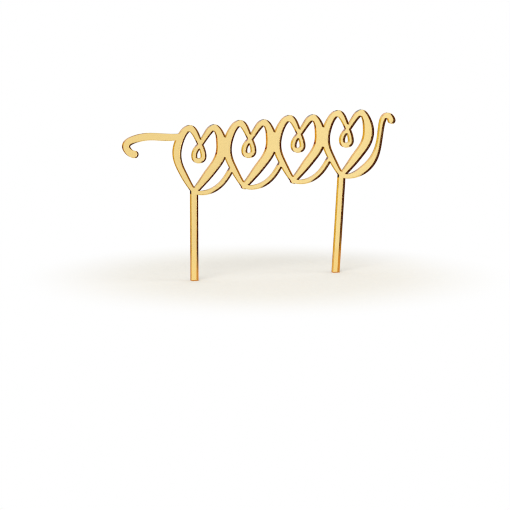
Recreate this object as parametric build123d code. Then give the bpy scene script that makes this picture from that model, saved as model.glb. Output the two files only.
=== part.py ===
from build123d import *

import os
from math import atan2, cos, degrees, pi, radians, tan

# Cake topper: a running line of linked hearts on two stakes, cut from one sheet of gold mirror acrylic.
#
# Mirror acrylic is a laminate, and the laser cuts all of its layers to one outline. From the front they are
# the tinted acrylic plate, the mirror film behind it and the coat of lacquer that protects the film.
#
# Frame: millimetres, X along the row of hearts, -Y out of the mirror face and +Z up. The origin is at the
# foot line, the height to which the stakes are pushed in, midway between them and halfway through the sheet.

# Sheet, from the mirror face to the back
PLATE_THICKNESS = 2.85
FILM_THICKNESS = 0.05
COAT_THICKNESS = 0.10

# Stakes: their spacing is at the foot line, and they rise from there to the tips of the hearts they carry
STAKE_SPACING = 89.3
STAKE_WIDTH = 4.2
STAKE_BURIED = 46.0
STAKE_POINT = 7.0
LEFT_STAKE_RISE = 52.0
RIGHT_STAKE_RISE = 58.0
RIGHT_STAKE_LEAN = 3.5

# Hearts: neighbours share this much of their sides, and the slant leans every heart to the right
HEART_COUNT = 4
HEART_OVERLAP = 2.0
HEART_HEIGHT = 37.0
HEART_SLANT = 8.0
NOTCH_DEPTH = 9.5
LOOP_WIDTH = 5.6
LOOP_LENGTH = 9.5

# Pen: the breadth of its line on down strokes, on up strokes, on hairlines and in the swashes
BROAD_LINE = 6.2
MIDDLE_LINE = 4.8
FINE_LINE = 2.8
SWASH_LINE = 4.2

# Left swash: how far it reaches past the first heart's tip, and its curl's clear height and its width
LEFT_SWASH_REACH = 43.1
LEFT_CURL_OPENING = 5.1
LEFT_CURL_WIDTH = 11.0

# Right swash: its clear gap to the last heart, its rise above that heart's tip, and the size of its hook
RIGHT_SWASH_GAP = 2.8
RIGHT_SWASH_RISE = 37.0
RIGHT_HOOK_WIDTH = 7.6
RIGHT_HOOK_DROP = 3.0

# Points taken along each span of a pen line when its two edges are drawn
EDGE_STEPS = 5

# Sizes that follow from those above
SHEET_THICKNESS = PLATE_THICKNESS + FILM_THICKNESS + COAT_THICKNESS
LEFT_FOOT = Vector(-STAKE_SPACING / 2, 0)
RIGHT_FOOT = Vector(STAKE_SPACING / 2, 0)
FIRST_TIP = LEFT_FOOT + Vector(0, LEFT_STAKE_RISE)
LAST_TIP = RIGHT_FOOT + Vector(RIGHT_STAKE_RISE * tan(radians(RIGHT_STAKE_LEAN)), RIGHT_STAKE_RISE)
TIP_STEP = (LAST_TIP - FIRST_TIP) / (HEART_COUNT - 1)
HEART_HALF = (TIP_STEP.X + HEART_OVERLAP - (BROAD_LINE + MIDDLE_LINE) / 2) / 2


def eased(share):
    """A share from 0 to 1 that starts and ends gently."""
    return (1 - cos(pi * share)) / 2


def pen_line(line, points, breadths, round_end=True):
    """The face that a pen draws along a line, its breadth changing smoothly between the points on that line.

    It starts with a round end, and finishes with another or cut square where it runs on into a further line.
    """
    knots = [line.param_at_point(point) for point in points]
    stations = []
    for start, end, low, high in zip(knots, knots[1:], breadths, breadths[1:]):
        for step in range(EDGE_STEPS):
            share = step / EDGE_STEPS
            stations.append((start + (end - start) * share, low + (high - low) * eased(share)))
    stations.append((1.0, breadths[-1]))

    left = []
    right = []
    for place, breadth in stations:
        along = line % place
        across = Vector(-along.Y, along.X) * (breadth / 2)
        left.append(line @ place + across)
        right.append(line @ place - across)
    start_tip = line @ 0 - line % 0 * (breadths[0] / 2)
    end_tip = line @ 1 + line % 1 * (breadths[-1] / 2)
    edges = [
        Spline(*left),
        ThreePointArc(left[-1], end_tip, right[-1]) if round_end else Line(left[-1], right[-1]),
        Spline(*reversed(right)),
        ThreePointArc(right[0], start_tip, left[0]),
    ]
    return make_face(edges)


def leaned(x, z):
    """A point or direction in a heart, moved right in proportion to its height."""
    return Vector(x + z * tan(radians(HEART_SLANT)), z)


def heart_points(tip, side):
    """Points up one half of a heart, from its tip over the lobe, through the notch and round the loop."""
    notch = HEART_HEIGHT - NOTCH_DEPTH
    half = side * HEART_HALF
    return [
        tip,
        tip + leaned(0.64 * half, 0.32 * HEART_HEIGHT),
        tip + leaned(half, 0.69 * HEART_HEIGHT),
        tip + leaned(0.54 * half, HEART_HEIGHT),
        tip + leaned(0, notch),
        tip + leaned(-side * LOOP_WIDTH / 2, notch - 0.62 * LOOP_LENGTH),
        tip + leaned(0, notch - LOOP_LENGTH),
    ]


def heart_line(tip, side):
    """The pen's path up one half of a heart."""
    return Spline(*heart_points(tip, side), tangents=(leaned(0.85 * side, 1), Vector(side, 0)))


def heart(tip):
    """A heart in one sweep of the pen: up the left side, round a loop in the notch, down the right side."""
    swell = (MIDDLE_LINE + FINE_LINE) / 2
    up_breadths = [FINE_LINE, swell, MIDDLE_LINE, swell, FINE_LINE, FINE_LINE, FINE_LINE]
    down_breadths = [1.2 * FINE_LINE, 0.85 * BROAD_LINE, BROAD_LINE, swell, FINE_LINE, FINE_LINE, FINE_LINE]
    return [
        pen_line(heart_line(tip, -1), heart_points(tip, -1), up_breadths, round_end=False),
        pen_line(heart_line(tip, 1), heart_points(tip, 1), down_breadths, round_end=False),
    ]


def link(tip, next_tip):
    """The hairline that leaves one heart's tip and swings up into the side of the next heart."""
    side = heart_points(next_tip, -1)[1]
    run = side - tip
    points = [tip, tip + Vector(0.55 * run.X, 0.10 * run.Y), side]
    line = Spline(*points, tangents=(Vector(1, -0.35), Vector(0.55, 1)))
    return pen_line(line, points, [0.85 * FINE_LINE, FINE_LINE, FINE_LINE])


def left_swash(tip):
    """The swash that leaves the first heart's lobe, runs out level to the left and curls under."""
    lobe = heart_line(tip, -1)
    side, top = heart_points(tip, -1)[2:4]
    root = lobe @ ((lobe.param_at_point(side) + lobe.param_at_point(top)) / 2)
    outer = tip.X - LEFT_SWASH_REACH + SWASH_LINE / 2
    drop = LEFT_CURL_OPENING + SWASH_LINE
    points = [
        root,
        Vector((root.X + outer + LEFT_CURL_WIDTH) / 2, root.Y),
        Vector(outer + 0.72 * LEFT_CURL_WIDTH, root.Y),
        Vector(outer, root.Y - 0.54 * drop),
        Vector(outer + 0.45 * LEFT_CURL_WIDTH, root.Y - drop),
    ]
    line = Spline(*points, tangents=(Vector(-1, -0.1), Vector(1, 0.2)))
    return pen_line(line, points, [0.85 * SWASH_LINE, SWASH_LINE, SWASH_LINE, SWASH_LINE, SWASH_LINE])


def right_swash(tip):
    """The swash that swings out from the last heart's tip, rises beside the heart and ends in a hook."""
    widest = heart_points(tip, 1)[2]
    side = widest.X + BROAD_LINE / 2 + RIGHT_SWASH_GAP + FINE_LINE / 2
    crest = tip.Y + RIGHT_SWASH_RISE - SWASH_LINE / 2
    points = [
        tip,
        Vector(tip.X + 0.66 * (side - tip.X), tip.Y + 0.12 * RIGHT_SWASH_RISE),
        Vector(side, tip.Y + 0.58 * RIGHT_SWASH_RISE),
        Vector(side + 0.60 * RIGHT_HOOK_WIDTH, crest),
        Vector(side + RIGHT_HOOK_WIDTH, crest - RIGHT_HOOK_DROP),
    ]
    line = Spline(*points, tangents=(Vector(1, -0.35), Vector(0.3, -1)))
    return pen_line(line, points, [0.85 * FINE_LINE, MIDDLE_LINE, FINE_LINE, 1.2 * FINE_LINE, SWASH_LINE])


def stake(foot, tip):
    """A stake from its heart's tip down past the foot line, with a point to push it in."""
    half = STAKE_WIDTH / 2
    length = (foot - tip).length + STAKE_BURIED
    edges = [
        Polyline((-half, 0), (-half, -length), (0, -length - STAKE_POINT), (half, -length), (half, 0)),
        ThreePointArc((half, 0), (0, half), (-half, 0)),
    ]
    lean = degrees(atan2(foot.X - tip.X, tip.Y - foot.Y))
    return Pos(tip.X, tip.Y) * Rot(0, 0, lean) * make_face(edges)


def topper_outline():
    """The one outline that the laser cuts: hearts, links, swashes and stakes."""
    tips = [FIRST_TIP + TIP_STEP * place for place in range(HEART_COUNT)]
    faces = [half for tip in tips for half in heart(tip)]
    faces += [link(tip, next_tip) for tip, next_tip in zip(tips, tips[1:])]
    faces += [left_swash(FIRST_TIP), right_swash(LAST_TIP)]
    faces += [stake(LEFT_FOOT, FIRST_TIP), stake(RIGHT_FOOT, LAST_TIP)]
    return Sketch() + faces


def sheet_layer(outline, depth, thickness):
    """A layer of the sheet whose back is at this depth below the mirror face, forward by its thickness."""
    back = Plane.XZ.offset(SHEET_THICKNESS / 2 - depth)
    return extrude(back * outline, amount=thickness)


outline = topper_outline()
layers = {
    "acrylic_plate": sheet_layer(outline, PLATE_THICKNESS, PLATE_THICKNESS),
    "mirror_film": sheet_layer(outline, PLATE_THICKNESS + FILM_THICKNESS, FILM_THICKNESS),
    "back_coat": sheet_layer(outline, SHEET_THICKNESS, COAT_THICKNESS),
}
os.makedirs("parts", exist_ok=True)
for name, layer in layers.items():
    export_step(layer, f"parts/{name}.step")
    print(name, "solids", len(layer.solids()), "volume", round(layer.volume, 1))
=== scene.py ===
import logging
import math
from dataclasses import dataclass, field
from enum import Enum
from functools import cached_property
from typing import Any

import bmesh
import bpy
from mathutils import Matrix, Vector


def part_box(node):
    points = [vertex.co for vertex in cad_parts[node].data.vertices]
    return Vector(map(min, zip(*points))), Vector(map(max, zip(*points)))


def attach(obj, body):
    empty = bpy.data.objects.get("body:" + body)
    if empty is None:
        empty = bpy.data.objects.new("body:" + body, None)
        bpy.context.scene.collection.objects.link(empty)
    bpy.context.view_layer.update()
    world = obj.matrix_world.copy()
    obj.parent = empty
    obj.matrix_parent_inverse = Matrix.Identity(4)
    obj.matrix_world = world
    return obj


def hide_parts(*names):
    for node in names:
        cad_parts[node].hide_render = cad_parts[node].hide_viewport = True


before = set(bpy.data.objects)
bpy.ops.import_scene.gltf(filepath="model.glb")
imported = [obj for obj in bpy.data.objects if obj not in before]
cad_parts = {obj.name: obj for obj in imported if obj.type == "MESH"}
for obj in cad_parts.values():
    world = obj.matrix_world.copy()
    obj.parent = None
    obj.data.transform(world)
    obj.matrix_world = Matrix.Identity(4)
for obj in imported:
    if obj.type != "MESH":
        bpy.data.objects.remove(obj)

MM = 0.001
MICRON = 0.000001
LOG = logging.getLogger("cake_topper")

Triple = tuple[float, float, float]
Colour = Triple
Span = tuple[float, float]
Socket = bpy.types.NodeSocket

WHITE: Colour = (1.0, 1.0, 1.0)
# Dark brown that only reflections see: painted shade on the floor, and a dark patch in the surroundings
DARK_BROWN: Colour = (0.060, 0.009, 0.0002)

# Attributes on the meshes: the faces that the laser cut, and the way out of the sheet along the outline
CUT_EDGE = "cut_edge"
WAY_OUT = "way_out"


class Layer(Enum):
    """The layers of the mirror sheet, each with its CAD node and its finish in the record."""

    PLATE = ("acrylic_plate", "gold_acrylic")
    FILM = ("mirror_film", "mirror_film")
    COAT = ("back_coat", "back_coat")

    @property
    def node(self) -> str:
        """Name of the CAD node."""
        return self.value[0]

    @property
    def slot(self) -> str:
        """Name of the material slot."""
        return self.value[1]


class Board:
    """Adds and wires nodes in one shader or geometry tree.

    MIX_INPUTS are the sockets of a Mix node for colours: the share, the first colour and the second colour.
    MIX_OUTPUT is its result.
    """

    MIX_INPUTS = (0, 6, 7)
    MIX_OUTPUT = 2

    def __init__(self, tree: bpy.types.NodeTree) -> None:
        """Works on a tree.

        Args:
            tree: The tree that the nodes go into.
        """
        self.tree = tree

    def add(self, kind: str, inputs: dict[Any, Any] | None = None, **settings: Any) -> bpy.types.Node:
        """Adds a node.

        Args:
            kind: Blender's identifier of the node.
            inputs: Socket name or number to a plain value or to the socket that feeds it.
            settings: Properties of the node itself.

        Returns:
            The new node.
        """
        node = self.tree.nodes.new(kind)
        for name, value in settings.items():
            setattr(node, name, value)
        for key, value in (inputs or {}).items():
            self.feed(node.inputs[key], value)
        return node

    def feed(self, socket: Socket, value: Any) -> None:
        """Gives a socket its value.

        Args:
            socket: The socket to set.
            value: The socket that feeds it, or a plain value.
        """
        if isinstance(value, Socket):
            self.tree.links.new(value, socket)
        else:
            socket.default_value = value

    def group(self, tree: bpy.types.NodeTree, inputs: dict[str, Any]) -> bpy.types.Node:
        """Places a shared shader group with its own values."""
        return self.add("ShaderNodeGroup", inputs, node_tree=tree)

    def place(self) -> Socket:
        """Object coordinates."""
        return self.add("ShaderNodeTexCoord").outputs["Object"]

    def mask(self, name: str) -> Socket:
        """Reads a number that is stored on the mesh."""
        return self.add("ShaderNodeAttribute", attribute_name=name).outputs["Fac"]

    def math(self, operation: str, *values: Any, clamp: bool = False) -> Socket:
        """Puts numbers through a Math node and returns its result."""
        inputs = dict(enumerate(values))
        return self.add("ShaderNodeMath", inputs, operation=operation, use_clamp=clamp).outputs[0]

    def vector(self, operation: str, inputs: dict[Any, Any], output: str = "Vector") -> Socket:
        """Puts vectors through a Vector Math node and returns one of its results."""
        return self.add("ShaderNodeVectorMath", inputs, operation=operation).outputs[output]

    def noise(self, place: Socket, scale: Any, detail: float, roughness: float = 0.5) -> Socket:
        """Reads a noise at a place and returns its value."""
        inputs = {"Vector": place, "Scale": scale, "Detail": detail, "Roughness": roughness}
        return self.add("ShaderNodeTexNoise", inputs).outputs["Fac"]

    def stretched(self, place: Socket, scale: Triple, turn: float = 0.0) -> Socket:
        """Turns a place in the plane of the sheet, scales it along each axis and returns it."""
        inputs = {"Vector": place, "Rotation": (0.0, turn, 0.0), "Scale": scale}
        return self.add("ShaderNodeMapping", inputs).outputs["Vector"]

    def ramp(
        self, value: Socket, low: float, high: float, out_low: float = 0.0, out_high: float = 1.0
    ) -> Socket:
        """Eases a number from one range to another.

        Args:
            value: The number that drives it.
            low: Where the ramp starts.
            high: Where the ramp ends.
            out_low: The result at and before the start.
            out_high: The result at and past the end.

        Returns:
            The eased number.
        """
        node = self.add(
            "ShaderNodeMapRange",
            {"Value": value, "From Min": low, "From Max": high, "To Min": out_low, "To Max": out_high},
            interpolation_type="SMOOTHSTEP",
        )
        return node.outputs["Result"]

    def mix(self, share: Any, first: Any, second: Any) -> Socket:
        """Mixes two colours.

        Args:
            share: How much of the second colour there is.
            first: The first colour, plain or a socket.
            second: The second colour, plain or a socket.

        Returns:
            The mixture.
        """
        node = self.add("ShaderNodeMix", data_type="RGBA")
        for index, value in zip(self.MIX_INPUTS, (share, first, second)):
            self.feed(node.inputs[index], (*value, 1.0) if isinstance(value, tuple) else value)
        return node.outputs[self.MIX_OUTPUT]

    def bump(
        self, height: Socket, distance: float, strength: float = 1.0, normal: Socket | None = None
    ) -> Socket:
        """Turns a height into a normal.

        Args:
            height: The height, from 0 to 1.
            distance: What a height of 1 stands for, in metres.
            strength: How much of it shows.
            normal: The normal that it adds to, or None for the surface's own.

        Returns:
            The normal.
        """
        inputs = {"Strength": strength, "Distance": distance, "Height": height}
        if normal is not None:
            inputs["Normal"] = normal
        return self.add("ShaderNodeBump", inputs).outputs["Normal"]


class Rays:
    """Masks that tell how a ray came to a surface of the studio, for one shader tree.

    Depths are whole numbers, so each one is tested half way to its neighbour.
    """

    def __init__(self, board: Board) -> None:
        """Works in a tree.

        Args:
            board: Board on the tree that uses the masks.
        """
        self.board = board
        self.path = board.add("ShaderNodeLightPath").outputs

    @cached_property
    def camera(self) -> Socket:
        """It came straight from the camera."""
        return self.path["Is Camera Ray"]

    @cached_property
    def glossy(self) -> Socket:
        """It came off a mirror or a gloss."""
        return self.path["Is Glossy Ray"]

    @cached_property
    def mirrored(self) -> Socket:
        """It came off a mirror or a gloss, or through the acrylic."""
        return self.board.math("MAXIMUM", self.glossy, self.path["Is Transmission Ray"])

    @cached_property
    def deep(self) -> Socket:
        """It was reflected at least twice."""
        return self.board.math("GREATER_THAN", self.path["Glossy Depth"], 1.5)

    @cached_property
    def outside(self) -> Socket:
        """It was never inside the acrylic."""
        return self.board.math("LESS_THAN", self.path["Transmission Depth"], 0.5)

    @cached_property
    def inside(self) -> Socket:
        """It went into the acrylic and didn't come out."""
        return self.board.math("COMPARE", self.path["Transmission Depth"], 1.0, 0.5)


def new_group(name: str, kind: str, inputs: dict[str, Any], outputs: dict[str, str]) -> Board:
    """Starts a node group with named sockets.

    Args:
        name: Name of the group.
        kind: Type of the tree.
        inputs: Socket name to its type, or to a pair of type and default value.
        outputs: Socket name to its type.

    Returns:
        A board on the new tree.
    """
    tree = bpy.data.node_groups.new(name, kind)
    for label, spec in inputs.items():
        socket_type, default = spec if isinstance(spec, tuple) else (spec, None)
        socket = tree.interface.new_socket(label, in_out="INPUT", socket_type=socket_type)
        if default is not None:
            socket.default_value = default
    for label, socket_type in outputs.items():
        tree.interface.new_socket(label, in_out="OUTPUT", socket_type=socket_type)
    return Board(tree)


def emptied(owner: bpy.types.Material | bpy.types.World) -> Board:
    """Clears the node tree of a material or world.

    Args:
        owner: The material or world.

    Returns:
        A board on its empty tree.
    """
    owner.use_nodes = True
    owner.node_tree.nodes.clear()
    return Board(owner.node_tree)


def new_material(name: str) -> tuple[bpy.types.Material, Board, bpy.types.Node, bpy.types.Node]:
    """Starts a material of the object.

    Args:
        name: Name of the material.

    Returns:
        The material, a board on its tree, its Principled shader and its output node.
    """
    material = bpy.data.materials.new(name)
    board = emptied(material)
    output = board.add("ShaderNodeOutputMaterial")
    shader = board.add("ShaderNodeBsdfPrincipled")
    board.feed(output.inputs["Surface"], shader.outputs["BSDF"])
    return material, board, shader, output


class SurfaceEffects:
    """Shader groups that more than one finish uses.

    SCRATCHES holds, for each set of scratches, its turn in the plane of the sheet and the scale along each
    axis that draws it out. Each pair that ends in _EDGE is the range over which that mark fades in.
    """

    SCRATCHES = ((0.55, (60.0, 60.0, 4200.0)), (-0.9, (45.0, 45.0, 3300.0)))
    SCRATCH_EDGE: Span = (0.70, 0.78)
    DUST_SCALE = 420.0
    DUST_EDGE: Span = (0.80, 1.0)
    DUST_SIZE = 0.10
    RIDGE_RUN: Triple = (1.0, 0.06, 1.0)
    BURR_SCALE = 260.0
    BURR_EDGE: Span = (0.45, 0.70)

    def __init__(self) -> None:
        """Builds the groups once."""
        self.handling = self._handling()
        self.ripple = self._ripple()
        self.cut_marks = self._cut_marks()

    def _handling(self) -> bpy.types.NodeTree:
        """Marks of handling: hairline scratches in two directions and specks of dust.

        Returns:
            The group, with the scratches and the specks as masks and both as a height.
        """
        board = new_group(
            "handling_marks",
            "ShaderNodeTree",
            {
                "Vector": "NodeSocketVector",
                "Scratches": ("NodeSocketFloat", 0.5),
                "Dust": ("NodeSocketFloat", 0.5),
            },
            {"Scratch": "NodeSocketFloat", "Speck": "NodeSocketFloat", "Height": "NodeSocketFloat"},
        )
        source = board.add("NodeGroupInput").outputs
        streaks = []
        for turn, scale in self.SCRATCHES:
            drawn = board.stretched(source["Vector"], scale, turn)
            streak = board.noise(drawn, 1.0, detail=1.0, roughness=0.4)
            streaks.append(board.ramp(streak, *self.SCRATCH_EDGE))
        scratch = board.math("MULTIPLY", board.math("MAXIMUM", *streaks), source["Scratches"], clamp=True)
        cells = board.add("ShaderNodeTexVoronoi", {"Vector": source["Vector"], "Scale": self.DUST_SCALE})
        chosen = board.add("ShaderNodeSeparateColor", {"Color": cells.outputs["Color"]}).outputs[0]
        size = board.ramp(chosen, *self.DUST_EDGE, 0.0, self.DUST_SIZE)
        speck = board.math("LESS_THAN", cells.outputs["Distance"], size)
        speck = board.math("MULTIPLY", speck, source["Dust"], clamp=True)
        height = board.math("SUBTRACT", speck, scratch)
        board.add("NodeGroupOutput", {"Scratch": scratch, "Speck": speck, "Height": height})
        return board.tree

    def _ripple(self) -> bpy.types.NodeTree:
        """The slow ripple of a cast sheet.

        Returns:
            The group, with the ripple as a height.
        """
        board = new_group(
            "sheet_ripple",
            "ShaderNodeTree",
            {"Vector": "NodeSocketVector", "Wavelength": ("NodeSocketFloat", 20.0 * MM)},
            {"Height": "NodeSocketFloat"},
        )
        source = board.add("NodeGroupInput").outputs
        scale = board.math("DIVIDE", 1.0, source["Wavelength"])
        slow = board.noise(source["Vector"], scale, detail=2.0, roughness=0.35)
        board.add("NodeGroupOutput", {"Height": slow})
        return board.tree

    def _cut_marks(self) -> bpy.types.NodeTree:
        """The laser's fine ridges, which run across the thickness of the sheet.

        Returns:
            The group, with the ridges as a height and the places with more burr as a mask.
        """
        board = new_group(
            "laser_ridges",
            "ShaderNodeTree",
            {"Vector": "NodeSocketVector", "Pitch": ("NodeSocketFloat", 0.22 * MM)},
            {"Height": "NodeSocketFloat", "Burr": "NodeSocketFloat"},
        )
        source = board.add("NodeGroupInput").outputs
        flat = board.vector("MULTIPLY", {0: source["Vector"], 1: self.RIDGE_RUN})
        scale = board.math("DIVIDE", 1.0, source["Pitch"])
        ridges = board.noise(flat, scale, detail=3.0, roughness=0.55)
        burr = board.ramp(board.noise(flat, self.BURR_SCALE, detail=1.0), *self.BURR_EDGE)
        board.add("NodeGroupOutput", {"Height": ridges, "Burr": burr})
        return board.tree


@dataclass(frozen=True)
class TintedAcrylic:
    """Gold-tinted clear acrylic, polished on its faces and laser-cut on its walls, with painted amber light
    on the walls.
    """

    let_through: Colour = (0.985, 0.750, 0.025)
    tint_density: float = 200.0
    bend: float = 1.49
    face_roughness: float = 0.012
    scratches: float = 0.5
    scratch_roughness: float = 0.05
    dust: float = 0.7
    dust_roughness: float = 0.25
    wave_length: float = 30.0 * MM
    wave_height: float = 8.0 * MICRON
    painted_wall_amber: Colour = (0.93, 0.67, 0.10)
    painted_wall_amber_deep: Colour = (0.84, 0.56, 0.065)
    wall_roughness: float = 0.10
    burr_roughness: float = 0.05
    ridge_pitch: float = 0.22 * MM
    ridge_height: float = 1.2 * MICRON

    def material(self, effects: SurfaceEffects) -> bpy.types.Material:
        """Builds the finish.

        Args:
            effects: The shared shader groups.

        Returns:
            The material.
        """
        material, board, shader, output = new_material("tinted_acrylic")
        place = board.place()
        wall = board.mask(CUT_EDGE)
        face = board.math("SUBTRACT", 1.0, wall)
        handling = {"Vector": place, "Scratches": self.scratches, "Dust": self.dust}
        marks = board.group(effects.handling, handling).outputs
        ridges = board.group(effects.cut_marks, {"Vector": place, "Pitch": self.ridge_pitch}).outputs
        ripple = board.group(effects.ripple, {"Vector": place, "Wavelength": self.wave_length}).outputs

        # The walls' amber is painted light: it stands in for light that has come a long way through the
        # tinted sheet, and is deeper at random where the burr is
        amber = board.mix(ridges["Burr"], self.painted_wall_amber, self.painted_wall_amber_deep)
        worn = board.math("MULTIPLY_ADD", marks["Scratch"], self.scratch_roughness, self.face_roughness)
        worn = board.math("MULTIPLY_ADD", marks["Speck"], self.dust_roughness, worn)
        cut = board.math("MULTIPLY_ADD", ridges["Burr"], self.burr_roughness, self.wall_roughness)
        roughness = board.math("MULTIPLY_ADD", cut, wall, board.math("MULTIPLY", worn, face))
        normal = board.bump(board.math("MULTIPLY", ripple["Height"], face), self.wave_height)
        ridged = board.math("MULTIPLY", ridges["Height"], wall)
        normal = board.bump(ridged, self.ridge_height, normal=normal)

        board.feed(shader.inputs["Base Color"], board.mix(wall, WHITE, amber))
        board.feed(shader.inputs["Roughness"], roughness)
        board.feed(shader.inputs["Normal"], normal)
        shader.inputs["Transmission Weight"].default_value = 1.0
        shader.inputs["IOR"].default_value = self.bend
        tint = {"Color": (*self.let_through, 1.0), "Density": self.tint_density}
        volume = board.add("ShaderNodeVolumeAbsorption", tint).outputs["Volume"]
        board.feed(output.inputs["Volume"], volume)
        return material


@dataclass(frozen=True)
class BrightFilm:
    """Metallised film, a bright mirror seen through the acrylic."""

    colour: Colour = (0.985, 0.965, 0.93)
    dull_share: float = 0.97
    roughness: float = 0.02
    grain_scale: float = 900.0
    grain_edge: Span = (0.3, 0.7)
    grain_roughness: float = 0.015
    ripple_length: float = 18.0 * MM
    ripple_height: float = 4.0 * MICRON

    def material(self, effects: SurfaceEffects) -> bpy.types.Material:
        """Builds the finish.

        Args:
            effects: The shared shader groups.

        Returns:
            The material.
        """
        material, board, shader, _ = new_material("bright_film")
        place = board.place()
        ripple = board.group(effects.ripple, {"Vector": place, "Wavelength": self.ripple_length}).outputs
        grain = board.ramp(board.noise(place, self.grain_scale, detail=2.0), *self.grain_edge)
        dull = tuple(self.dull_share * part for part in self.colour)
        roughness = board.math("MULTIPLY_ADD", grain, self.grain_roughness, self.roughness)
        board.feed(shader.inputs["Base Color"], board.mix(grain, dull, self.colour))
        board.feed(shader.inputs["Roughness"], roughness)
        board.feed(shader.inputs["Normal"], board.bump(ripple["Height"], self.ripple_height))
        shader.inputs["Metallic"].default_value = 1.0
        return material


@dataclass(frozen=True)
class BackLacquer:
    """Matt lacquer that protects the film, rolled on, and browned where the laser cut it."""

    colour: Colour = (0.235, 0.215, 0.19)
    pale: Colour = (0.275, 0.255, 0.225)
    mottle_scale: float = 140.0
    mottle_edge: Span = (0.35, 0.65)
    mottle_share: float = 0.6
    roller_run: Triple = (14.0, 1.0, 520.0)
    roller_edge: Span = (0.42, 0.68)
    roller_share: float = 0.4
    browned: Colour = (0.24, 0.13, 0.055)
    scorched: Colour = (0.15, 0.075, 0.03)
    ridge_pitch: float = 0.22 * MM
    scratches: float = 0.8
    scratch_roughness: float = -0.15
    dust: float = 0.8
    dust_colour: Colour = (0.55, 0.54, 0.52)
    dust_share: float = 0.5
    mark_height: float = 0.6
    bend: float = 1.48
    roughness: float = 0.52
    mottle_roughness: float = 0.12
    peel_scale: float = 1600.0
    peel_height: float = 9.0 * MICRON

    def material(self, effects: SurfaceEffects) -> bpy.types.Material:
        """Builds the finish.

        Args:
            effects: The shared shader groups.

        Returns:
            The material.
        """
        material, board, shader, _ = new_material("back_lacquer")
        place = board.place()
        wall = board.mask(CUT_EDGE)
        handling = {"Vector": place, "Scratches": self.scratches, "Dust": self.dust}
        marks = board.group(effects.handling, handling).outputs
        ridges = board.group(effects.cut_marks, {"Vector": place, "Pitch": self.ridge_pitch}).outputs
        mottle = board.noise(place, self.mottle_scale, detail=4.0)
        peel = board.noise(place, self.peel_scale, detail=2.0)
        roller = board.noise(board.stretched(place, self.roller_run), 1.0, detail=3.0)

        tone = board.math("MULTIPLY", board.ramp(mottle, *self.mottle_edge), self.mottle_share)
        streak = board.ramp(roller, *self.roller_edge)
        tone = board.math("MULTIPLY_ADD", streak, self.roller_share, tone)
        colour = board.mix(tone, self.colour, self.pale)
        dusty = board.math("MULTIPLY", marks["Speck"], self.dust_share)
        colour = board.mix(dusty, colour, self.dust_colour)
        colour = board.mix(wall, colour, board.mix(ridges["Burr"], self.browned, self.scorched))
        roughness = board.math("MULTIPLY_ADD", mottle, self.mottle_roughness, self.roughness)
        roughness = board.math("MULTIPLY_ADD", marks["Scratch"], self.scratch_roughness, roughness)
        height = board.math("MULTIPLY_ADD", marks["Height"], self.mark_height, peel)

        board.feed(shader.inputs["Base Color"], colour)
        board.feed(shader.inputs["Roughness"], roughness)
        board.feed(shader.inputs["Normal"], board.bump(height, self.peel_height))
        shader.inputs["IOR"].default_value = self.bend
        return material


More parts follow.
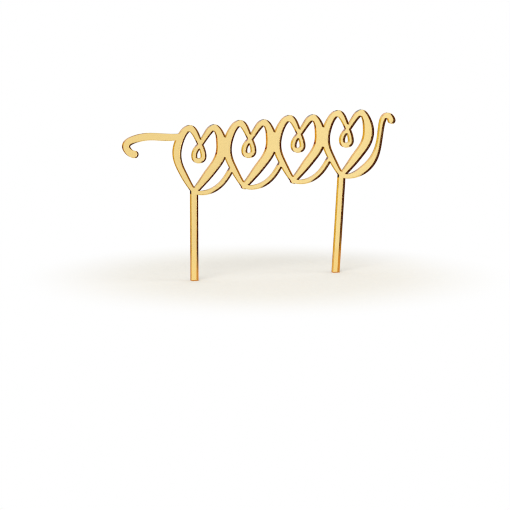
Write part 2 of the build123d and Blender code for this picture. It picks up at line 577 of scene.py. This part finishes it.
@dataclass(frozen=True)
class CutOutline:
    """The line that the laser cut, read from the front face of a CAD layer, laid flat and drawn finer."""

    node: str
    same_point: float = 1e-7
    facing_front: float = -0.9
    corner_degrees: float = 14.0
    step_degrees: float = 2.5
    most_steps: int = 5
    miter_limit: float = 2.0
    straight_run: float = 8.0 * MM

    def mesh(self) -> bpy.types.Mesh:
        """Reads the outline.

        Returns:
            Its edges, with X along the row and Y up, and at each point the way out of the sheet.
        """
        points: list[Vector] = []
        ways: list[Vector] = []
        edges: list[tuple[int, int]] = []
        for loop in self._loops():
            first = len(points)
            for point, way in self._finer(loop):
                points.append(point)
                ways.append(way)
            count = len(points) - first
            edges += [(first + place, first + (place + 1) % count) for place in range(count)]
        mesh = bpy.data.meshes.new("cut_outline")
        mesh.from_pydata([(point.x, point.y, 0.0) for point in points], edges, [])
        way_out = mesh.attributes.new(WAY_OUT, "FLOAT_VECTOR", "POINT")
        way_out.data.foreach_set("vector", [part for way in ways for part in (way.x, way.y, 0.0)])
        LOG.info("cut outline: %d points", len(points))
        return mesh

    def _loops(self) -> list[list[Vector]]:
        """Walks round the edge of the front face, with the sheet always on the left.

        Returns:
            The corners of each closed line, in order.
        """
        solid = bmesh.new()
        solid.from_mesh(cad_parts[self.node].data)
        bmesh.ops.remove_doubles(solid, verts=solid.verts, dist=self.same_point)
        following: dict[bmesh.types.BMVert, bmesh.types.BMVert] = {}
        for face in solid.faces:
            if face.normal.y > self.facing_front:
                continue
            for corner in face.loops:
                beyond = corner.link_loop_radial_next.face
                if beyond.normal.y > self.facing_front:
                    following[corner.vert] = corner.link_loop_next.vert
        loops = []
        while following:
            vert, after = following.popitem()
            line = [vert]
            while after is not line[0]:
                line.append(after)
                after = following.pop(after)
            loops.append([Vector((vert.co.x, vert.co.z)) for vert in line])
        solid.free()
        return loops

    def _finer(self, line: list[Vector]) -> list[tuple[Vector, Vector]]:
        """Puts more points on the curved runs of a closed line and leaves its corners and straight runs.

        Args:
            line: Points of the line, in order.

        Returns:
            Points of the finer line, each with the way out of the sheet there.
        """
        count = len(line)
        sides = [line[(place + 1) % count] - line[place] for place in range(count)]
        headings = [self._heading(sides[place - 1], sides[place]) for place in range(count)]
        finer = []
        for place, start in enumerate(line):
            after = (place + 1) % count
            leave, reach = headings[place], headings[after]
            run = sides[place].normalized()
            before = sides[place - 1].normalized()
            finer.append((start, self._way_out(leave, leave) if leave else self._way_out(before, run)))
            chord = sides[place].length
            if chord > self.straight_run or not (leave or reach):
                continue
            # At a corner, the curve meets the chord as it does at the other end
            leave = leave or (2.0 * run * run.dot(reach) - reach)
            reach = reach or (2.0 * run * run.dot(leave) - leave)
            bend = math.degrees(leave.angle(reach))
            steps = min(self.most_steps, math.ceil(bend / self.step_degrees))
            for step in range(1, steps):
                share = step / steps
                spot = self._on_curve(start, leave * chord, line[after], reach * chord, share)
                way = (leave * (1 - share) + reach * share).normalized()
                finer.append((spot, self._way_out(way, way)))
        return finer

    @staticmethod
    def _on_curve(start: Vector, leave: Vector, end: Vector, reach: Vector, share: float) -> Vector:
        """A point on the cubic curve between two points.

        Args:
            start: Where the curve starts.
            leave: How it leaves its start.
            end: Where it ends.
            reach: How it reaches its end.
            share: Place along the curve, from 0 to 1.

        Returns:
            The point.
        """
        square, cube = share**2, share**3
        return (
            start * (2 * cube - 3 * square + 1)
            + leave * (cube - 2 * square + share)
            + end * (3 * square - 2 * cube)
            + reach * (cube - square)
        )

    def _heading(self, before: Vector, after: Vector) -> Vector | None:
        """The way that the line runs through a point, which is along a straight run that ends there.

        Args:
            before: The side of the line that ends at the point.
            after: The side that starts there.

        Returns:
            The direction, or None at a corner.
        """
        if math.degrees(before.angle(after)) >= self.corner_degrees:
            return None
        for side in (before, after):
            if side.length > self.straight_run:
                return side.normalized()
        return (before.normalized() + after.normalized()).normalized()

    def _way_out(self, before: Vector, after: Vector) -> Vector:
        """The way out of the sheet at a point, longer at a corner so that an inset keeps its distance.

        Args:
            before: Direction of the line into the point.
            after: Direction of the line out of the point.

        Returns:
            The way out, to the right of the line.
        """
        middle = (before + after).normalized()
        reach = 1.0 / max(1.0 / self.miter_limit, middle.dot(after))
        return Vector((middle.y, -middle.x)) * reach


class SheetLayerTree:
    """Geometry Nodes that turn the cut outline into one layer with rounded rims and bowed, leaning walls.

    RIM holds the rings of a rounded rim, from the face to the wall, as shares of the rim's round: how far
    the ring lies below the face, and how far in from the wall. WALL holds the rings down the wall, as
    shares of its height. Points closer than WELD are joined.
    """

    RIM = ((0.0, 1.0), (0.293, 0.293), (1.0, 0.0))
    WALL = (0.25, 0.5, 0.75)
    WELD = 5e-7

    def __init__(self) -> None:
        """Builds the tree."""
        sizes = ("Front Depth", "Back Depth", "Front Inset", "Back Inset", "Rim Round")
        self.board = new_group(
            "sheet_layer",
            "GeometryNodeTree",
            {
                "Outline": "NodeSocketGeometry",
                **{size: "NodeSocketFloat" for size in sizes},
                "Finish": "NodeSocketMaterial",
            },
            {"Layer": "NodeSocketGeometry"},
        )
        self.source = self.board.add("NodeGroupInput").outputs
        self.way_out = self.board.add(
            "GeometryNodeInputNamedAttribute", {"Name": WAY_OUT}, data_type="FLOAT_VECTOR"
        ).outputs["Attribute"]
        self._wire()

    def identifiers(self) -> dict[str, str]:
        """Socket name to the identifier by which a modifier sets it."""
        items = self.board.tree.interface.items_tree
        return {item.name: item.identifier for item in items if item.in_out == "INPUT"}

    def _rim_ring(self, end: str, sink: float, inset: float) -> tuple[Socket, Socket]:
        """Depth and inset of a ring in one of the rims.

        Args:
            end: Front or Back.
            sink: Share of the rim's round that the ring lies in from that end.
            inset: Share of the rim's round that the ring lies in from the wall.

        Returns:
            The depth below the sheet's mid plane and the inset from the outline.
        """
        rim = self.source["Rim Round"]
        step = sink if end == "Front" else -sink
        depth = self.board.math("MULTIPLY_ADD", rim, step, self.source[f"{end} Depth"])
        pulled = self.board.math("MULTIPLY_ADD", rim, inset, self.source[f"{end} Inset"])
        return depth, pulled

    def _wall_ring(self, share: float) -> tuple[Socket, Socket]:
        """Depth and inset of a ring down the wall, which leans most at the front.

        Args:
            share: Share of the wall's height, from the front.

        Returns:
            The depth below the sheet's mid plane and the inset from the outline.
        """
        front = self._rim_ring("Front", *self.RIM[-1])
        back = self._rim_ring("Back", *self.RIM[-1])
        bowed = share * (2.0 - share)
        depth, pulled = (
            self.board.math("MULTIPLY_ADD", self.board.math("SUBTRACT", last, first), part, first)
            for first, last, part in zip(front, back, (share, bowed))
        )
        return depth, pulled

    def _sunk(self, depth: Socket) -> Socket:
        """Turns a depth into a move towards the back."""
        down = self.board.math("MULTIPLY", depth, -1.0)
        return self.board.add("ShaderNodeCombineXYZ", {"Z": down}).outputs[0]

    def _pulled(self, inset: Socket) -> Socket:
        """Turns an inset into a move in from the outline."""
        inwards = self.board.math("MULTIPLY", inset, -1.0)
        return self.board.vector("SCALE", {0: self.way_out, "Scale": inwards})

    def _move(self, geometry: Socket, offset: Socket, selection: Socket | None = None) -> Socket:
        """Moves points.

        Args:
            geometry: What to move.
            offset: How far.
            selection: The points to move, or None for all.

        Returns:
            The moved geometry.
        """
        inputs = {"Geometry": geometry, "Offset": offset}
        if selection is not None:
            inputs["Selection"] = selection
        return self.board.add("GeometryNodeSetPosition", inputs).outputs["Geometry"]

    def _cap(self, depth: Socket, inset: Socket) -> Socket:
        """Fills the outline.

        Args:
            depth: Depth of the face below the sheet's mid plane.
            inset: Inset of the face from the outline.

        Returns:
            The face.
        """
        line = self._move(self.source["Outline"], self._pulled(inset))
        curve = self.board.add("GeometryNodeMeshToCurve", {"Mesh": line}).outputs["Curve"]
        filled = self.board.add("GeometryNodeFillCurve", {"Curve": curve}, mode="TRIANGLES")
        return self._move(filled.outputs["Mesh"], self._sunk(depth))

    def _walls(self, rings: list[tuple[Socket, Socket]]) -> Socket:
        """Draws the walls ring by ring and marks them as cut.

        Args:
            rings: Depth and inset of each ring, from the front.

        Returns:
            The walls.
        """
        depth, inset = rings[0]
        offset = self.board.vector("ADD", {0: self._pulled(inset), 1: self._sunk(depth)})
        walls = self._move(self.source["Outline"], offset)
        last = None
        for (depth, inset), (next_depth, next_inset) in zip(rings, rings[1:]):
            inputs = {"Mesh": walls, "Offset Scale": 0.0}
            if last is not None:
                inputs["Selection"] = last
            grown = self.board.add("GeometryNodeExtrudeMesh", inputs, mode="EDGES").outputs
            last = grown["Top"]
            side = self._pulled(self.board.math("SUBTRACT", next_inset, inset))
            back = self._sunk(self.board.math("SUBTRACT", next_depth, depth))
            offset = self.board.vector("ADD", {0: side, 1: back})
            walls = self._move(grown["Mesh"], offset, last)
        marked = self.board.add(
            "GeometryNodeStoreNamedAttribute",
            {"Geometry": walls, "Name": CUT_EDGE, "Value": 1.0},
            data_type="FLOAT",
            domain="FACE",
        )
        return marked.outputs["Geometry"]

    def _wire(self) -> None:
        """Joins the walls and two caps into a closed layer and gives it the finish."""
        rings = [self._rim_ring("Front", *ring) for ring in self.RIM]
        rings += [self._wall_ring(share) for share in self.WALL]
        rings += [self._rim_ring("Back", *ring) for ring in reversed(self.RIM)]
        joined = self.board.add("GeometryNodeJoinGeometry")
        for part in (self._walls(rings), self._cap(*rings[0]), self._cap(*rings[-1])):
            self.board.feed(joined.inputs["Geometry"], part)
        solid = joined.outputs["Geometry"]
        welding = {"Geometry": solid, "Distance": self.WELD}
        solid = self.board.add("GeometryNodeMergeByDistance", welding).outputs["Geometry"]
        solid = self.board.add("GeometryNodeRealizeInstances", {"Geometry": solid}).outputs["Geometry"]
        finish = {"Geometry": solid, "Material": self.source["Finish"]}
        solid = self.board.add("GeometryNodeSetMaterial", finish).outputs["Geometry"]
        self.board.add("NodeGroupOutput", {"Layer": solid})


@dataclass(frozen=True)
class LayerSize:
    """Depths of a layer's faces below the sheet's mid plane and insets of its walls from the outline."""

    front: float
    back: float
    front_inset: float
    back_inset: float
    rim: float


@dataclass
class MirrorSheet:
    """The sheet of mirror acrylic: plate, film and back coat, all cut to one outline."""

    draft_degrees: float = 2.0
    plate_rim: float = 0.05 * MM
    thin_rim: float = 0.008 * MM
    film_sink: float = 0.02 * MM
    coat_sink: float = 0.01 * MM
    film_inset: float = 0.04 * MM
    sharp_degrees: float = 14.0
    effects: SurfaceEffects = field(default_factory=SurfaceEffects)
    pieces: dict[Layer, bpy.types.Object] = field(default_factory=dict)

    def build(self) -> None:
        """Makes the pieces."""
        outline = CutOutline(Layer.PLATE.node).mesh()
        tree = SheetLayerTree()
        finishes = self._finishes()
        for layer, size in self._sizes().items():
            mesh = self._shape(size, outline, tree, finishes[layer])
            piece = bpy.data.objects.new(f"{layer.node}_cut", mesh)
            bpy.context.scene.collection.objects.link(piece)
            self.pieces[layer] = piece

    def dress(self) -> None:
        """Puts the pieces in place of their CAD nodes."""
        for layer, piece in self.pieces.items():
            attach(piece, "root")
            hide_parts(layer.node)

    def _sizes(self) -> dict[Layer, LayerSize]:
        """Works out each layer's size from the CAD boxes.

        The film and the coat stand where the plate's leaning wall ends. Both are let a little into the
        plate, so that no gap shows, and the coat goes round the edge of the film.

        Returns:
            The sizes.
        """
        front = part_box(Layer.PLATE.node)[0].y
        plate_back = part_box(Layer.PLATE.node)[1].y
        film_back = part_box(Layer.FILM.node)[1].y
        coat_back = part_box(Layer.COAT.node)[1].y
        lean = math.tan(math.radians(self.draft_degrees)) * (plate_back - front)
        film_front, film_edge = plate_back - self.film_sink, lean + self.film_inset
        coat_front, coat_edge = plate_back - self.coat_sink, lean + self.coat_sink
        return {
            Layer.PLATE: LayerSize(front, plate_back, 0.0, lean, self.plate_rim),
            Layer.FILM: LayerSize(film_front, film_back, film_edge, film_edge, self.thin_rim),
            Layer.COAT: LayerSize(coat_front, coat_back, coat_edge, coat_edge, self.thin_rim),
        }

    def _finishes(self) -> dict[Layer, bpy.types.Material]:
        """Builds each layer's material."""
        finishes = {Layer.PLATE: TintedAcrylic(), Layer.FILM: BrightFilm(), Layer.COAT: BackLacquer()}
        return {layer: finish.material(self.effects) for layer, finish in finishes.items()}

    def _shape(
        self, size: LayerSize, outline: bpy.types.Mesh, tree: SheetLayerTree, finish: bpy.types.Material
    ) -> bpy.types.Mesh:
        """Makes one layer as a plain mesh.

        Args:
            size: Its depths and insets.
            outline: The cut outline, laid flat.
            tree: The Geometry Nodes that build a layer.
            finish: Its material.

        Returns:
            The mesh, standing in its place.
        """
        flat = bpy.data.objects.new("flat_layer", outline)
        bpy.context.scene.collection.objects.link(flat)
        modifier = flat.modifiers.new("sheet_layer", "NODES")
        modifier.node_group = tree.board.tree
        values = {
            "Front Depth": size.front,
            "Back Depth": size.back,
            "Front Inset": size.front_inset,
            "Back Inset": size.back_inset,
            "Rim Round": size.rim,
            "Finish": finish,
        }
        names = tree.identifiers()
        for name, value in values.items():
            modifier[names[name]] = value
        mesh = bpy.data.meshes.new_from_object(flat.evaluated_get(bpy.context.evaluated_depsgraph_get()))
        flat.modifiers.remove(modifier)
        bpy.data.objects.remove(flat)
        # Stand the flat layer up, with its faces outward and its finish as the only material
        mesh.transform(Matrix.Rotation(math.radians(90.0), 4, "X"))
        mesh.materials.clear()
        mesh.materials.append(finish)
        solid = bmesh.new()
        solid.from_mesh(mesh)
        bmesh.ops.recalc_face_normals(solid, faces=solid.faces)
        for face in solid.faces:
            face.material_index = 0
        solid.to_mesh(mesh)
        solid.free()
        mesh.shade_smooth()
        mesh.set_sharp_from_angle(angle=math.radians(self.sharp_degrees))
        return mesh


@dataclass(frozen=True)
class PaleFloor:
    """The pale surface that the stakes go into, which fades to white further out and is open from below.

    The film and the acrylic show it only out to mirrored_reach, and further out the surroundings.
    Reflections
    see it glow in painted colours: pale cream, and for deep reflections a painted amber glow at the foot of
    the stakes, which goes further out along the lane where the leaning stake's reflections land, and past
    it the surroundings. A ray that is still inside the acrylic sees a painted amber-dark glow where the
    stake goes in, and a reflection that was never inside sees the floor with painted dark brown shade.
    """

    radius: float = 0.8
    sides: int = 96
    colour: Colour = (0.865, 0.842, 0.782)
    grain_scale: float = 90.0
    grain_height: float = 0.8 * MM
    grain_strength: float = 0.6
    fade: Span = (0.150, 0.060)
    mirrored_reach: Span = (0.110, 0.140)
    mirrored_colour: Colour = (1.00, 0.975, 0.83)
    foot_glow: Colour = (0.72, 0.38, 0.07)
    foot_slant: Span = (-0.050, -0.190)
    foot_reach: Span = (0.135, 0.180)
    lane_lean: float = 0.44
    lane_left: Span = (-0.020, 0.0)
    lane_right: Span = (0.060, 0.040)
    lane_start: Span = (0.0, 0.03)
    lane_reach: Span = (0.03, 0.36)
    painted_inside_glow: Colour = (0.62, 0.27, 0.05)
    outside_shade: float = 0.5

    def build(self) -> None:
        """Lays the floor at the height to which the stakes go in."""
        mesh = bpy.data.meshes.new("floor")
        disc = bmesh.new()
        bmesh.ops.create_circle(disc, cap_ends=True, segments=self.sides, radius=self.radius)
        disc.to_mesh(mesh)
        disc.free()
        floor = bpy.data.objects.new("floor", mesh)
        bpy.context.scene.collection.objects.link(floor)
        mesh.materials.append(self._material())

    def _material(self) -> bpy.types.Material:
        """Builds the finish.

        Returns:
            The material.
        """
        material = bpy.data.materials.new("pale_floor")
        board = emptied(material)
        rays = Rays(board)
        place = board.place()
        away = board.vector("LENGTH", {0: place}, "Value")
        grain = board.noise(place, self.grain_scale, detail=4.0)
        normal = board.bump(grain, self.grain_height, self.grain_strength)
        matt = board.add("ShaderNodeBsdfDiffuse", {"Color": (*self.colour, 1.0), "Normal": normal})
        white = board.add("ShaderNodeEmission", {"Color": self._glow(board, rays), "Strength": 1.0})
        clear = board.add("ShaderNodeBsdfTransparent")

        direct = board.math("SUBTRACT", 1.0, rays.mirrored)
        near = board.math("MULTIPLY", board.ramp(away, *self.fade), direct)
        seen = board.add("ShaderNodeMixShader", {0: near, 1: white.outputs[0], 2: matt.outputs[0]})
        shallow = board.math("SUBTRACT", 1.0, rays.deep)
        far = board.math("MULTIPLY", board.ramp(away, *self.mirrored_reach), shallow)
        far = board.math("MULTIPLY_ADD", rays.deep, self._past_foot(board, place, away), far)
        below = board.add("ShaderNodeNewGeometry").outputs["Backfacing"]
        opened = board.math("MAXIMUM", board.math("MULTIPLY", rays.mirrored, far), below)
        surface = board.add("ShaderNodeMixShader", {0: opened, 1: seen.outputs[0], 2: clear.outputs[0]})
        board.add("ShaderNodeOutputMaterial", {"Surface": surface.outputs[0]})
        return material

    def _past_foot(self, board: Board, place: Socket, away: Socket) -> Socket:
        """Where deep reflections are past the glow at the foot of the stakes.

        Args:
            board: Board on the floor's tree.
            place: Object coordinates.
            away: Distance from the middle of the floor.

        Returns:
            The mask, which sets in later along the lane.
        """
        spot = board.add("ShaderNodeSeparateXYZ", {"Vector": place}).outputs
        slant = board.ramp(board.math("ADD", spot["X"], spot["Y"]), *self.foot_slant)
        past = board.math("MAXIMUM", slant, board.ramp(away, *self.foot_reach))
        ahead = board.math("MULTIPLY", spot["Y"], -1.0)
        across = board.math("MULTIPLY_ADD", ahead, self.lane_lean, spot["X"])
        lane = board.ramp(ahead, *self.lane_start)
        for side in (self.lane_left, self.lane_right):
            lane = board.math("MULTIPLY", lane, board.ramp(across, *side))
        later = board.math("SUBTRACT", board.ramp(ahead, *self.lane_reach), past)
        return board.math("MULTIPLY_ADD", lane, later, past)

    def _glow(self, board: Board, rays: Rays) -> Socket:
        """What the floor shows where it isn't matt.

        Args:
            board: Board on the floor's tree.
            rays: Its masks.

        Returns:
            White for the camera, and for reflections the painted colours that they see.
        """
        # Painted reflections: reflections see the floor glow pale cream, and deep ones amber at the foot of
        # the stakes
        glow = board.mix(rays.deep, self.mirrored_colour, self.foot_glow)
        # Rays still inside the acrylic see a painted amber-dark glow
        glow = board.mix(rays.inside, glow, self.painted_inside_glow)
        # Reflections off the outside of the acrylic see painted dark brown shade
        glow = board.mix(board.math("MULTIPLY", rays.outside, self.outside_shade), glow, DARK_BROWN)
        return board.mix(rays.mirrored, WHITE, glow)


@dataclass(frozen=True)
class WhiteSurround:
    """The white surroundings, as the world.

    The camera sees them white, and reflections see them a little brighter than the light that they give.
    Single reflections that go forwards see them deeper on the left and paler on the right. Deep reflections
    that leave the acrylic forwards see a bright panel straight ahead and a dark brown patch round it, which
    both end on the right. Low reflections off the outside of the acrylic, straight ahead or straight back,
    are shaded.
    """

    light: float = 0.83
    shown: float = 1.02
    left_tint: Colour = (0.930, 0.935, 0.915)
    right_tint: Colour = (1.010, 1.055, 1.110)
    tint_run: Span = (0.31, 0.40)
    panel_boost: float = 1.0
    panel_edge: Span = (0.225, 0.255)
    patch_side: Span = (0.24, 0.16)
    shade: float = 0.95
    shade_ahead: Span = (0.70, 0.85)
    shade_height: Span = (0.30, 0.10)

    def build(self) -> None:
        """Sets the world."""
        world = bpy.data.worlds.new("white_surround")
        bpy.context.scene.world = world
        board = emptied(world)
        rays = Rays(board)
        light = (self.light, self.light, self.light)
        colour = board.mix(rays.mirrored, light, self._reflected(board, rays))
        colour = board.mix(rays.camera, colour, WHITE)
        sky = board.add("ShaderNodeBackground", {"Color": colour, "Strength": 1.0})
        board.add("ShaderNodeOutputWorld", {"Surface": sky.outputs[0]})

    def _reflected(self, board: Board, rays: Rays) -> Socket:
        """What reflections see of the surroundings.

        Args:
            board: Board on the world's tree.
            rays: Its masks.

        Returns:
            The colour.
        """
        way = board.add("ShaderNodeTexCoord").outputs["Generated"]
        part = board.add("ShaderNodeSeparateXYZ", {"Vector": way}).outputs
        ring = board.vector("LENGTH", {0: board.vector("MULTIPLY", {0: way, 1: (1.0, 0.0, 1.0)})}, "Value")
        ahead = board.math("LESS_THAN", part["Y"], 0.0)
        forwards = board.math("MULTIPLY", rays.deep, ahead)
        forwards = board.math("MULTIPLY", forwards, board.ramp(part["X"], *self.patch_side))
        panel = board.math("MULTIPLY", forwards, board.ramp(ring, *reversed(self.panel_edge)))
        patch = board.math("MULTIPLY", forwards, board.ramp(ring, *self.panel_edge))
        outer = board.math("MULTIPLY", rays.outside, rays.glossy)
        along = board.ramp(board.math("ABSOLUTE", part["Y"]), *self.shade_ahead)
        outer = board.math("MULTIPLY", outer, along)
        outer = board.math("MULTIPLY", outer, board.ramp(part["Z"], *self.shade_height))
        shown = board.math("MULTIPLY_ADD", panel, self.panel_boost, self.shown)
        shown = board.math("MULTIPLY", shown, board.math("MULTIPLY_ADD", outer, -self.shade, 1.0))
        grey = board.add("ShaderNodeCombineColor", {0: shown, 1: shown, 2: shown}).outputs[0]
        once = board.math("MULTIPLY", ahead, board.math("SUBTRACT", 1.0, rays.deep))
        tint = board.mix(board.ramp(part["X"], *self.tint_run), self.left_tint, self.right_tint)
        tinted = board.vector("MULTIPLY", {0: grey, 1: board.mix(once, WHITE, tint)})
        return board.mix(patch, tinted, DARK_BROWN)


@dataclass(frozen=True)
class SoftLamp:
    """A soft square lamp that faces the object and isn't seen itself."""

    name: str
    place: Triple
    power: float
    side: float = 0.7
    target: Triple = (0.0, 0.0, 0.03)

    def build(self) -> None:
        """Hangs the lamp."""
        data = bpy.data.lights.new(self.name, "AREA")
        data.size = self.side
        data.energy = self.power
        lamp = bpy.data.objects.new(self.name, data)
        lamp.location = self.place
        way = Vector(self.target) - Vector(self.place)
        lamp.rotation_euler = way.to_track_quat("-Z", "Y").to_euler()
        lamp.visible_camera = False
        lamp.visible_glossy = False
        lamp.visible_transmission = False
        bpy.context.scene.collection.objects.link(lamp)


@dataclass(frozen=True)
class Viewpoint:
    """The camera, at the photograph's viewpoint, with its focal length in pixels of the picture."""

    azimuth: float = -21.0
    elevation: float = 8.2
    distance: float = 1.300
    aim: Triple = (-6.79 * MM, 0.0, 13.12 * MM)
    focal_pixels: float = 2211.0
    frame_pixels: float = 510.0
    sensor_width: float = 36.0
    clip: Span = (0.05, 50.0)

    def build(self) -> None:
        """Places the camera."""
        turn = math.radians(self.azimuth)
        lift = math.radians(self.elevation)
        back = Vector((math.sin(turn) * math.cos(lift), -math.cos(turn) * math.cos(lift), math.sin(lift)))
        data = bpy.data.cameras.new("camera")
        data.sensor_width = self.sensor_width
        data.lens = self.sensor_width * self.focal_pixels / self.frame_pixels
        data.clip_start, data.clip_end = self.clip
        camera = bpy.data.objects.new("camera", data)
        camera.location = Vector(self.aim) + back * self.distance
        camera.rotation_euler = (-back).to_track_quat("-Z", "Y").to_euler()
        bpy.context.scene.collection.objects.link(camera)
        bpy.context.scene.camera = camera


@dataclass(frozen=True)
class Studio:
    """Everything round the object: camera, floor, surroundings and lamps."""

    lamps: tuple[SoftLamp, ...] = (
        SoftLamp("key_lamp", (-0.75, -0.85, 0.95), 6.0),
        SoftLamp("fill_lamp", (0.95, -0.55, 0.55), 2.4),
    )
    bounces: int = 24
    glossy_bounces: int = 12
    pixel_filter: float = 1.1

    def build(self) -> None:
        """Sets the studio up."""
        for part in (Viewpoint(), PaleFloor(), WhiteSurround(), *self.lamps):
            part.build()
        scene = bpy.context.scene
        scene.view_settings.view_transform = "Standard"
        scene.cycles.max_bounces = self.bounces
        scene.cycles.transmission_bounces = self.bounces
        scene.cycles.glossy_bounces = self.glossy_bounces
        scene.cycles.filter_width = self.pixel_filter


def main() -> None:
    """Builds the sheet and the studio round it, and reports each piece."""
    logging.basicConfig(level=logging.INFO, format="%(name)s %(message)s")
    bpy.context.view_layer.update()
    sheet = MirrorSheet()
    sheet.build()
    sheet.dress()
    for piece in sheet.pieces.values():
        LOG.info("%s: %d faces", piece.name, len(piece.data.polygons))
    Studio().build()


if __name__ == "__main__":
    main()
